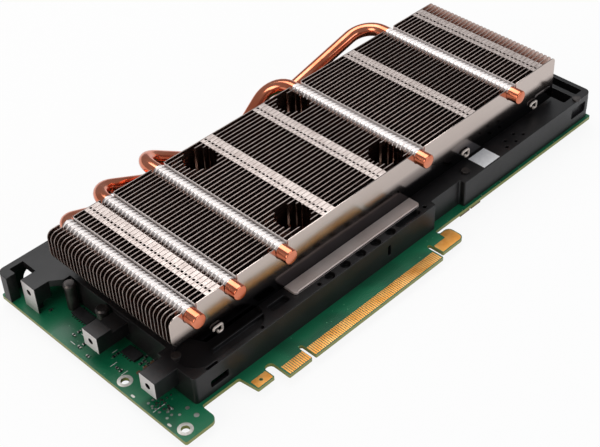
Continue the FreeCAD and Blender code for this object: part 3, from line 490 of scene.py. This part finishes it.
def cut_wells(tree, whole):
    """Whole row minus a stepped well at each spring screw."""
    middle = (screws_lo + screws_hi) / 2
    span_x = screws_hi.x - screws_lo.x - 2 * SCREW_HEAD_R
    span_y = screws_hi.y - screws_lo.y - 2 * SCREW_HEAD_R
    grid = add(tree, "GeometryNodeMeshGrid", {0: span_x, 1: span_y, 2: 2, 3: 2}).outputs[0]
    upper = (WELL_R, WELL_STEP_Z, FIN_TOP + MM)
    lower = (WELL_FOOT_R, FIN_FOOT - MM, WELL_STEP_Z + MM)
    for radius, low, high in (upper, lower):
        sizes = {"Vertices": 64, "Radius": radius, "Depth": high - low}
        rod = add(tree, "GeometryNodeMeshCylinder", sizes).outputs[0]
        rods = add(tree, "GeometryNodeInstanceOnPoints", {"Points": grid, "Instance": rod})
        place = {"Geometry": rods.outputs[0], "Translation": (middle.x, middle.y, (low + high) / 2)}
        moved = add(tree, "GeometryNodeTransform", place).outputs[0]
        solid = add(tree, "GeometryNodeRealizeInstances", {"Geometry": moved}).outputs[0]
        both = {"Mesh 1": whole, "Mesh 2": solid}
        less = {"operation": "DIFFERENCE", "solver": "EXACT"}
        whole = add(tree, "GeometryNodeMeshBoolean", both, **less).outputs[0]
    return whole


def sheared(tree):
    """Selects the sheared edges at a fin's top and ends, but not the walls of the wells."""
    normal = add(tree, "GeometryNodeInputNormal").outputs[0]
    across = add(tree, "ShaderNodeSeparateXYZ", {"Vector": normal}).outputs["Y"]
    size = add(tree, "ShaderNodeMath", {0: across}, operation="ABSOLUTE").outputs[0]
    narrow = add(tree, "FunctionNodeCompare", {0: size, 1: 0.5}, operation="LESS_THAN").outputs[0]
    spot = add(tree, "GeometryNodeInputPosition").outputs[0]
    place = add(tree, "ShaderNodeSeparateXYZ", {"Vector": spot}).outputs
    outside = False
    for axis, comparison, limit in (
            ("Z", "GREATER_THAN", FIN_TOP - EDGE_DEPTH), ("X", "LESS_THAN", FIN_NEAR + EDGE_NEAR),
            ("X", "GREATER_THAN", FIN_FAR - EDGE_FAR)):
        test = add(tree, "FunctionNodeCompare", {0: place[axis], 1: limit}, operation=comparison)
        either = {0: outside, 1: test.outputs[0]}
        outside = add(tree, "FunctionNodeBooleanMath", either, operation="OR").outputs[0]
    both = {0: narrow, 1: outside}
    return add(tree, "FunctionNodeBooleanMath", both, operation="AND").outputs[0]


print("wells of", round(2 * WELL_R / MM), "mm")


# %% Tree that repeats a piece along a line
def row_tree(name, faces, edges=None):
    """Tree that repeats its own geometry; an edge finish marks the fins, which get wells."""
    tree = bpy.data.node_groups.new(name, "GeometryNodeTree")
    for socket, kind in (("Geometry", "Geometry"), ("Count", "Int"), ("Step", "Vector")):
        tree.interface.new_socket(socket, in_out="INPUT", socket_type="NodeSocket" + kind)
    tree.interface.new_socket("Geometry", in_out="OUTPUT", socket_type="NodeSocketGeometry")
    given = add(tree, "NodeGroupInput").outputs
    offsets = {"Count": given["Count"], "Offset": given["Step"]}
    line = add(tree, "GeometryNodeMeshLine", offsets, mode="OFFSET").outputs[0]
    spots = {"Points": line, "Instance": given["Geometry"]}
    copies = add(tree, "GeometryNodeInstanceOnPoints", spots).outputs[0]
    whole = add(tree, "GeometryNodeRealizeInstances", {"Geometry": copies}).outputs[0]
    if edges:
        whole = cut_wells(tree, whole)
    whole = add(tree, "GeometryNodeSetMaterial", {"Geometry": whole, "Material": faces}).outputs[0]
    if edges:
        dress = {"Geometry": whole, "Selection": sheared(tree), "Material": edges}
        whole = add(tree, "GeometryNodeSetMaterial", dress).outputs[0]
    add(tree, "NodeGroupOutput", {0: whole})
    return tree


def repeat(piece, tree):
    """Turn a piece into a plain mesh of its own repeats, one for each gap in the stack."""
    modifier = piece.modifiers.new("repeat", "NODES")
    modifier.node_group = tree
    values = {"Count": FIN_COUNT - 1, "Step": (0.0, FIN_PITCH, 0.0)}
    for socket in tree.interface.items_tree:
        if socket.name in values:
            modifier[socket.identifier] = values[socket.name]
    plain_mesh(piece)
    print(piece.name, values["Count"], "copies,", len(piece.data.polygons), "faces")


print("row tree ready")


# %% Fin outline with open notches
def fin_outline():
    """Outline (x, z) of a fin: rounded shoulders, sloping heel and a notch for each pipe."""
    shoulder, far = FIN_SHOULDER_R, FIN_FAR_R
    outline = arc((FIN_NEAR + shoulder, FIN_TOP - shoulder), shoulder, 90, 180, 8)
    outline += arc((FIN_NEAR + FIN_HEEL_R, FIN_HEEL_Z), FIN_HEEL_R, 180, 222, 6)
    outline += [(FIN_NEAR + FIN_SLOPE_INSET, FIN_SLOPE_Z), (FIN_NEAR + FIN_FOOT_INSET, FIN_FOOT)]
    outline += [(FIN_FAR, FIN_FOOT)]
    outline += arc((FIN_FAR - far, FIN_TOP - far), far, 0, 90, 8)
    corner = NOTCH_CORNER_R
    for x in reversed(PIPE_X):
        outline += arc((x + NOTCH_R + corner, FIN_TOP - corner), corner, 90, 180, 3)
        outline += arc((x, PIPE_TOP_Z), NOTCH_R, 0, -180, 14)
        outline += arc((x - NOTCH_R - corner, FIN_TOP - corner), corner, 0, 90, 3)
    return [Vector((x, 0, z)) for x, z in outline]


print("fin outline of", len(fin_outline()), "points")

# %% Fins behind the front plate
behind = Vector((0, STACK_FRONT + FIN_PITCH, 0))
thickness = Vector((0, FIN_THICK, 0))
fins = mesh_object("fin_sheets", prism(bmesh.new(), fin_outline(), behind, thickness))
repeat(fins, row_tree("rows_with_wells", fin_sheet, fin_edge))

# %% Front plate and its bevelled rim
plate_bm = prism(bmesh.new(), fin_outline(), Vector((0, STACK_FRONT, 0)), thickness)
plate = mesh_object("front_plate", plate_bm, plate_metal, smooth=20)
rim = plate.modifiers.new("rim", "BEVEL")
rim.width, rim.segments = PLATE_RIM, 2
rim.limit_method, rim.angle_limit = "ANGLE", math.radians(50)
plain_mesh(plate)
print("front plate has", len(plate.data.polygons), "faces")

# %% [markdown]
# ### Folded lips
# Tabs along the top of each fin are folded over until they nearly touch the next fin. They set
# the pitch and lock the stack. Each lip has a square slot that the next fin's tooth snaps into.


# %% Lip with its slot
def lip_profile(depth):
    """Points (y, z) down a lip, up round its fold and out to its end, at a depth in its wall."""
    inner = LIP_FOLD_R - depth
    points = [(depth, -LIP_TAIL)]
    for turn in (0.0, 0.5, 1.0, 1.57):
        points.append((LIP_FOLD_R - inner * math.cos(turn), inner * math.sin(turn) - LIP_FOLD_R))
    slot, end = LIP_SLOT_PLACE[1], FIN_PITCH - FIN_THICK / 2 - LIP_GAP
    return points + [(slot, -depth), (slot + LIP_SLOT[1], -depth), (end, -depth)]


def lip(bm, start):
    """Folded strip with one square slot, made as two skins that are closed along every rim."""
    slot = start + LIP_SLOT_PLACE[0]
    cuts = (start, slot, slot + LIP_SLOT[0], start + LIP_WIDTH)
    front, rows = STACK_FRONT + FIN_THICK / 2, len(lip_profile(0.0))
    grid = {}
    for layer, depth in enumerate((0.0, LIP_WALL)):
        for column, x in enumerate(cuts):
            for row, (y, z) in enumerate(lip_profile(depth)):
                grid[layer, column, row] = bm.verts.new((x, front + y, FIN_TOP + z))
    cells = {(c, r) for c in range(len(cuts) - 1) for r in range(rows - 1)}
    rims = {}
    for c, r in sorted(cells - {(1, rows - 3)}):
        ring = ((c, r), (c + 1, r), (c + 1, r + 1), (c, r + 1))
        for layer in (0, 1):
            bm.faces.new([grid[layer, *spot] for spot in ring])
        for one, two in zip(ring, ring[1:] + ring[:1]):
            rims.setdefault(frozenset((one, two)), []).append((one, two))
    for sides in rims.values():
        if len(sides) == 1:
            one, two = sides[0]
            bm.faces.new((grid[0, *one], grid[0, *two], grid[1, *two], grid[1, *one]))


lips_bm = bmesh.new()
for start in LIP_STARTS:
    lip(lips_bm, start)
lips = mesh_object("folded_lips", lips_bm, fold)
repeat(lips, row_tree("lip_rows", fold))

# %% [markdown]
# ### Flanges round the pipes
# The edge of each notch is drawn into petals that hug the pipe and meet at its crest, and the
# far wall of the notch into a scalloped collar. Solder fills the gap between them and the pipe.


# %% Petals and collars
def petal(bm, x, first, last):
    """Curved shell on a pipe's flank that widens from a fin's thickness to the full pitch."""
    steps, middle = 8, STACK_FRONT + FIN_PITCH / 2 + FIN_THICK / 2
    inner, outer = PIPE_R + PETAL_GAP, PIPE_R + PETAL_GAP + FLANGE_WALL
    skins = [arc((x, PIPE_TOP_Z), radius, first, last, steps) for radius in (inner, outer)]
    rings = []
    for step, ((near_x, near_z), (far_x, far_z)) in enumerate(zip(*skins)):
        half = (FIN_THICK + (FIN_PITCH - FOLD_GAP - FIN_THICK) * (step / steps) ** 3) / 2
        front, back = middle - half, middle + half
        ring = [(near_x, front, near_z), (near_x, back, near_z)]
        ring += [(far_x, back, far_z), (far_x, front, far_z)]
        rings.append([bm.verts.new(spot) for spot in ring])
    for one, two in zip(rings, rings[1:]):
        stitch(bm, one, two)
    bm.faces.new(rings[0])
    bm.faces.new(reversed(rings[-1]))


def collar(bm, x):
    """Far wall of a notch, scalloped along its top between two fins."""
    steps, length, foot = 8, FIN_PITCH - FOLD_GAP, PIPE_TOP_Z - COLLAR_DEPTH
    outline = [Vector((0, 0, foot)), Vector((0, length, foot))]
    for step in range(steps + 1):
        share = 1 - step / steps
        dip = COLLAR_DIP * (1 - (2 * share - 1) ** 4)
        outline.append(Vector((0, length * share, FIN_TOP - COLLAR_DROP - dip)))
    start = Vector((x + NOTCH_R - FLANGE_WALL, STACK_FRONT + FIN_THICK, 0))
    prism(bm, outline, start, Vector((FLANGE_WALL * 1.5, 0, 0)))


flange_bm, collar_bm = bmesh.new(), bmesh.new()
for x in PIPE_X:
    for turns in PETAL_TURNS:
        petal(flange_bm, x, *turns)
    collar(collar_bm, x)
collars = mesh_object("notch_collars", collar_bm, soldered)
flanges = mesh_object("notch_flanges", flange_bm, soldered)
soldered_rows = row_tree("soldered_rows", soldered)
repeat(collars, soldered_rows)
repeat(flanges, soldered_rows)

# %% [markdown]
# ## Heat pipes
# Each pipe is one tube: it runs over the fins, turns down behind them and comes back under
# them in a groove of the base plate. Its front end is closed flat and spun to a small radius.

# %% Pipes along their bent paths
for index, name in enumerate(PIPE_NAMES):
    corners = [
        Vector((PIPE_X[index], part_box(name)[0].y + PIPE_SHIFT_Y, PIPE_TOP_Z)),
        Vector((PIPE_X[index], PIPE_TURN_Y[index], PIPE_TOP_Z)),
        Vector((PIPE_BASE_X[index], PIPE_BASE_TURN_Y[index], PIPE_BASE_Z)),
        Vector((PIPE_BASE_X[index], PIPE_BASE_FRONT, PIPE_BASE_Z)),
    ]
    pipe_bm = bmesh.new()
    tube(pipe_bm, rounded_path(corners, PIPE_BEND_R[index]), PIPE_R, sides=40, rim=PIPE_RIM)
    pipe = mesh_object("bent_pipe_" + str(index + 1), pipe_bm, copper, smooth=50)
    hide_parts("heat_pipe_" + str(index + 1))
    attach(pipe, "root")
    print(pipe.name, "bends at", round(PIPE_BEND_R[index] / MM), "mm")

# %% [markdown]
# ### Details on the front plate
# Bent wire clips hold the stack down on the frame until it is screwed. Near the far end a
# shallow dimple is pressed into the plate, with a soft shoulder all round.

# %% Spring clips along the plate's foot
CLIP_X = [-28.0 * MM, 109.2 * MM, 155.2 * MM]
CLIP_REACH, CLIP_BEND_R, CLIP_WIRE_R, CLIP_RIM = 0.65 * MM, 0.7 * MM, 0.5 * MM, 0.2 * MM
# The wire's corners are (x, z) in mm from a clip's foot.
CLIP_CORNERS = [(1.4, 3.6), (1.4, 4.8), (5.4, 4.8), (5.4, 1.6), (3.2, 1.6), (3.2, 3.0)]
clips_bm = bmesh.new()
for x in CLIP_X:
    foot = Vector((x, STACK_FRONT - CLIP_REACH, FIN_FOOT))
    corners = [foot + Vector((a, 0, b)) * MM for a, b in CLIP_CORNERS]
    tube(clips_bm, rounded_path(corners, CLIP_BEND_R, 4), CLIP_WIRE_R, sides=10, rim=CLIP_RIM)
clips = mesh_object("spring_clips", clips_bm, wire)
print(len(CLIP_X), "clips made")

# %% Pressed dimple near the far end
# Each step is a radius of the rounded ends and a height over the plate, in mm.
DIMPLE_X, DIMPLE_Z, DIMPLE_HALF = FIN_FAR - 7.3 * MM, 20.5 * MM, 3.9 * MM
DIMPLE_STEPS = [(1.9, -0.1), (1.9, 0.0), (1.5, 0.04), (1.1, 0.09), (0.7, 0.12), (0.3, 0.13)]
dimple_bm = bmesh.new()
loops = []
for radius, rise in DIMPLE_STEPS:
    rim = arc((DIMPLE_X + DIMPLE_HALF, DIMPLE_Z), radius * MM, -90, 90, 12)
    rim += arc((DIMPLE_X - DIMPLE_HALF, DIMPLE_Z), radius * MM, 90, 270, 12)
    loops.append([dimple_bm.verts.new((a, STACK_FRONT - rise * MM, b)) for a, b in rim])
for one, two in zip(loops, loops[1:]):
    stitch(dimple_bm, one, two)
dimple_bm.faces.new(reversed(loops[0]))
dimple_bm.faces.new(loops[-1])
dimple = mesh_object("pressed_dimple", dimple_bm, plate_metal, smooth=60)
print("dimple made")

# %% Hand the stack over
for piece in (fins, plate, lips, flanges, collars, clips, dimple):
    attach(piece, "root")
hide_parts("plain_fins", "well_fins_front", "well_fins_back")
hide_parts("side_plate")
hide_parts("pipe_collars")
print("stack stands for its solids")

# %% [markdown]
# ## Springs and the base's ledge
# The base plate is pulled onto the processor by four screws on open coil springs, deep in
# the wells. Its wide ledge ends in a small rolled lip under the front plate.

# %% Coil springs
SPRING_TURNS, SPRING_R, SPRING_WIRE_R = 6, 2.0 * MM, 0.25 * MM
inset = SPRING_R + SPRING_WIRE_R
bottom, top = spring_lo.z + SPRING_WIRE_R, spring_hi.z - SPRING_WIRE_R
springs_bm = bmesh.new()
for x in (spring_lo.x + inset, spring_hi.x - inset):
    for y in (spring_lo.y + inset, spring_hi.y - inset):
        steps = SPRING_TURNS * 12
        spots = arc((x, y), SPRING_R, 0, 360 * SPRING_TURNS, steps)
        rises = [bottom + (top - bottom) * step / steps for step in range(steps + 1)]
        path = [Vector((a, b, rise)) for (a, b), rise in zip(spots, rises)]
        tube(springs_bm, path, SPRING_WIRE_R, sides=6)
springs = mesh_object("coil_springs", springs_bm, steel)
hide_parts("screw_springs")
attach(springs, "root")
print("four springs of", SPRING_TURNS, "turns")

# %% Rolled lip along the ledge
# The profile is in mm from the ledge's front edge and its top.
LEDGE_PROFILE = [
    (0.9, -1.0), (0.3, -1.0), (0.0, -0.7), (0.0, -0.2), (0.25, 0.1), (0.8, 0.1), (1.0, -0.05)]
LEDGE_INSET = 1.5 * MM
outline = [Vector((0, base_lo.y + y * MM, base_hi.z + z * MM)) for y, z in LEDGE_PROFILE]
length = Vector((base_hi.x - base_lo.x - 2 * LEDGE_INSET, 0, 0))
ledge_bm = prism(bmesh.new(), outline, Vector((base_lo.x + LEDGE_INSET, 0, 0)), length)
ledge = mesh_object("rolled_ledge_lip", ledge_bm, base_metal, smooth=60)
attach(ledge, "root")
print("ledge lip made")

# %% [markdown]
# ## Small things on the board
# Small parts, pads and legend marks stand on fixed lists of places, each with its middle on a
# spot (x, y) in mm. Nothing carries a name: the ink shows only outlines and tick marks.


# %% Thin block on the board
def block(bm, x, y, width, length, height, radius=0.0):
    """Block on the board in mm, centred on a spot, with corners of a radius or square ones."""
    corners = []
    for side, end, start in ((1, 1, 0), (-1, 1, 90), (-1, -1, 180), (1, -1, 270)):
        middle = (side * (width / 2 - radius), end * (length / 2 - radius))
        corners += arc(middle, radius, start, start + 90, 4) if radius else [middle]
    outline = [Vector((a, b, 0)) * MM for a, b in corners]
    prism(bm, outline, Vector((x * MM, y * MM, BOARD_TOP)), Vector((0, 0, height * MM)))


print("block ready")

# %% Surface-mount parts
# Every third part is turned a quarter. Its tinned ends stand a little proud of the body.
PART_SPOTS = [
    (-45.2, 41.2), (-43.4, 41.2), (-41.6, 41.2), (-45.2, 43.4), (-43.4, 43.4), (-41.8, 44.6),
    (-52.4, 46.0), (-52.4, 48.0), (-49.6, 53.4), (-47.6, 53.4), (-55.2, 66.4), (-53.0, 66.4),
    (-50.6, 90.0), (-52.8, 72.8), (-50.4, 72.8), (-48.0, 37.2), (-56.0, 60.4), (-52.2, 19.6)]
PART_LENGTH, PART_WIDTH, PART_HEIGHT = 1.5, 0.8, 0.55
body, cap = (PART_LENGTH * 0.62, PART_WIDTH), (PART_LENGTH * 0.24, PART_WIDTH * 1.04)
parts_bm, ends_bm = bmesh.new(), bmesh.new()
for index, (x, y) in enumerate(PART_SPOTS):
    turned = index % 3 == 1
    block(parts_bm, x, y, *(reversed(body) if turned else body), PART_HEIGHT)
    for shift in (-PART_LENGTH * 0.4, PART_LENGTH * 0.4):
        spot = (x, y + shift) if turned else (x + shift, y)
        block(ends_bm, *spot, *(reversed(cap) if turned else cap), PART_HEIGHT + 0.03)
parts = mesh_object("chip_resistors", parts_bm, moulded)
ends = mesh_object("tinned_ends", ends_bm, tin)
for piece, name in ((parts, "chip"), (ends, "tin")):
    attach(piece, "root")
print(len(PART_SPOTS), "surface-mount parts")

# %% Pads and filled holes
PAD_HEIGHT, HOLE_PITCH = 0.04, 2.0
PADS = [(-57.0, 33.6, 0.9, 1.9), (-56.9, 14.0, 0.9, 1.9), (-47.5, 15.4, 1.6, 1.6)]
pads_bm, filled_bm = bmesh.new(), bmesh.new()
for x, y, width, length in PADS:
    block(pads_bm, x, y, width, length, PAD_HEIGHT, radius=width * 0.48)
for step in range(6):
    block(pads_bm, -56.0 + 1.7 * step, 24.2, 0.8, 0.8, PAD_HEIGHT, radius=0.39)
    block(pads_bm, 100 + 12.5 * step, 12.95, 0.7, 0.5, PAD_HEIGHT, radius=0.2)
for column in range(3):
    for row in range(7):
        if (column, row) not in ((0, 0), (0, 2), (1, 0), (2, 1)):
            x, y = -55.4 + HOLE_PITCH * column, 15.0 + HOLE_PITCH * row
            block(filled_bm, x, y, 1.1, 1.1, PAD_HEIGHT, radius=0.54)
pads = mesh_object("solder_pads", pads_bm, tin)
filled = mesh_object("filled_through_holes", filled_bm, tin)
print("pads and filled holes made")

# %% Legend marks
MARK_HEIGHT = 0.03
MARKS = [
    (-52.0, 50.6, 3.0, 0.25), (-52.0, 44.4, 3.0, 0.25), (-55.4, 70.2, 0.25, 2.6),
    (-50.4, 70.2, 0.25, 2.6), (-47.6, 55.4, 2.4, 0.25), (-54.0, 22.6, 6.0, 0.2)]
ink_bm = bmesh.new()
for mark in MARKS:
    block(ink_bm, *mark, MARK_HEIGHT)
legend = mesh_object("legend_marks", ink_bm, ink)
for piece, name in ((pads, "tin"), (filled, "tin"), (legend, "paper")):
    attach(piece, "root")
print(len(MARKS), "legend marks")

# %% [markdown]
# ## Finishes on the solids
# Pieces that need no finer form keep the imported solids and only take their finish.

# %% Dress the solids
DRESS = {
    mask: ("circuit_board", "processor_package"),
    gold: ("contacts_top", "contacts_bottom", "plated_tabs", "plug_pins"),
    tin: ("mounting_rings",),
    coat: ("frame",),
    steel: ("spring_screws", "backing_plate"),
    dark_steel: ("frame_screws", "deck_screws", "standoffs", "standoff_screws"),
    paper: ("label",),
    base_metal: ("base_plate", "processor_lid", "capacitors"),
    moulded: (
        "memory_chips_top", "memory_chips_bottom", "chokes", "transistors",
        "control_chip_a", "control_chip_b"),
    gap_pad: ("thermal_pads",),
    brown: ("small_parts", "under_capacitors"),
    nylon: ("power_plug_6", "power_plug_8"),
}
for finish_used, names in DRESS.items():
    for name in names:
        mesh = nodes[name].data
        mesh.materials.clear()
        mesh.materials.append(finish_used)
        mesh.polygons.foreach_set("use_smooth", [True] * len(mesh.polygons))
        mesh.set_sharp_from_angle(angle=math.radians(30))
print(sum(len(names) for names in DRESS.values()), "solids dressed")

# %% [markdown]
# ## Table, light and camera
# The card lies on a white sweep under one large soft box, with a weaker one on each side. The
# sweep and the room look white to the lens and give the card only a dim, even light.

# %% White sweep
FLOOR_HALF, FLOOR_GAP = 6.0, 0.1 * MM
sweep, tree, shader = material("white_paper_sweep")
fill(tree, shader, {"Base Color": linear("#f4f4f4"), "Roughness": 0.9})
seen = add(tree, "ShaderNodeLightPath").outputs["Is Camera Ray"]
share = add(tree, "ShaderNodeMath", {0: seen, 1: 0.9}, operation="MULTIPLY").outputs[0]
glow = add(tree, "ShaderNodeEmission", {"Color": (1, 1, 1, 1), "Strength": 1.0}).outputs[0]
lit = add(tree, "ShaderNodeMixShader", {0: share, 1: shader.outputs[0], 2: glow}).outputs[0]
tree.links.new(lit, tree.nodes["Material Output"].inputs["Surface"])
floor_bm = bmesh.new()
floor_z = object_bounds()[0][2] - FLOOR_GAP
corners = [(-FLOOR_HALF, -FLOOR_HALF), (FLOOR_HALF, -FLOOR_HALF)]
corners += [(FLOOR_HALF, FLOOR_HALF), (-FLOOR_HALF, FLOOR_HALF)]
floor_bm.faces.new([floor_bm.verts.new((x, y, floor_z)) for x, y in corners])
floor = mesh_object("paper_sweep", floor_bm, sweep)
floor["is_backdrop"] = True
print("floor at", round(floor_z / MM, 2), "mm")

# %% World
world = bpy.data.worlds.new("studio")
bpy.context.scene.world = world
world.use_nodes = True
tree = world.node_tree
tree.nodes.clear()
seen = add(tree, "ShaderNodeLightPath").outputs["Is Camera Ray"]
room = add(tree, "ShaderNodeBackground", {"Color": linear("#e8ebef"), "Strength": 0.35})
white = add(tree, "ShaderNodeBackground", {"Color": (1, 1, 1, 1), "Strength": 1.0})
both = add(tree, "ShaderNodeMixShader", {0: seen, 1: room.outputs[0], 2: white.outputs[0]})
add(tree, "ShaderNodeOutputWorld", {"Surface": both.outputs[0]})
print("world ready")


# %% Soft boxes
def soft_box(name, place, aim, size, power, tint):
    """Rectangular light at a place, turned to its aim."""
    light = bpy.data.lights.new(name, "AREA")
    light.shape, light.size, light.size_y = "RECTANGLE", size[0], size[1]
    light.energy, light.color = power, linear(tint)[:3]
    made = bpy.data.objects.new(name, light)
    made.location = place
    made.rotation_euler = (aim - Vector(place)).to_track_quat("-Z", "Y").to_euler()
    bpy.context.scene.collection.objects.link(made)


centre = (Vector(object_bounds()[0]) + Vector(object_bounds()[1])) / 2
soft_box("overhead", (0.25, 0.45, 0.9), centre, (0.9, 0.7), 6, "#ffffff")
soft_box("left", (-0.9, 0.1, 0.5), centre, (0.5, 0.6), 3, "#fff4ea")
soft_box("front", (0.3, -0.9, 0.45), centre, (0.8, 0.4), 3, "#f4f8ff")
print("three soft boxes")

# %% Camera
# The camera looks down on the near corner of the card through a long lens, turned slightly
# about its own axis. Angles are in radians and the lens in mm.
azimuth, elevation, roll = 0.7813246, 0.7060043, -0.0267238
level_ahead = Vector((math.cos(azimuth), math.sin(azimuth), 0)) * math.cos(elevation)
ahead = level_ahead + Vector((0, 0, -math.sin(elevation)))
level = Vector((math.sin(azimuth), -math.cos(azimuth), 0))
upward = level.cross(ahead)
right = math.cos(roll) * level + math.sin(roll) * upward
up = math.cos(roll) * upward - math.sin(roll) * level
lens = bpy.data.cameras.new("camera")
lens.sensor_width, lens.lens = 36, 75.918
lens.shift_x, lens.shift_y = -0.0537, -0.00375
lens.clip_start, lens.clip_end = 0.01, 50
camera = bpy.data.objects.new("camera", lens)
camera.matrix_world = Matrix((right, up, -ahead)).transposed().to_4x4()
camera.location = Vector((-219.42, -228.51, 335.61)) * MM
bpy.context.scene.collection.objects.link(camera)
bpy.context.scene.camera = camera
bpy.context.scene.view_settings.view_transform = "Standard"
print("camera placed")

# %% [markdown]
# ## Last update

# %% Update the scene
bpy.context.view_layer.update()
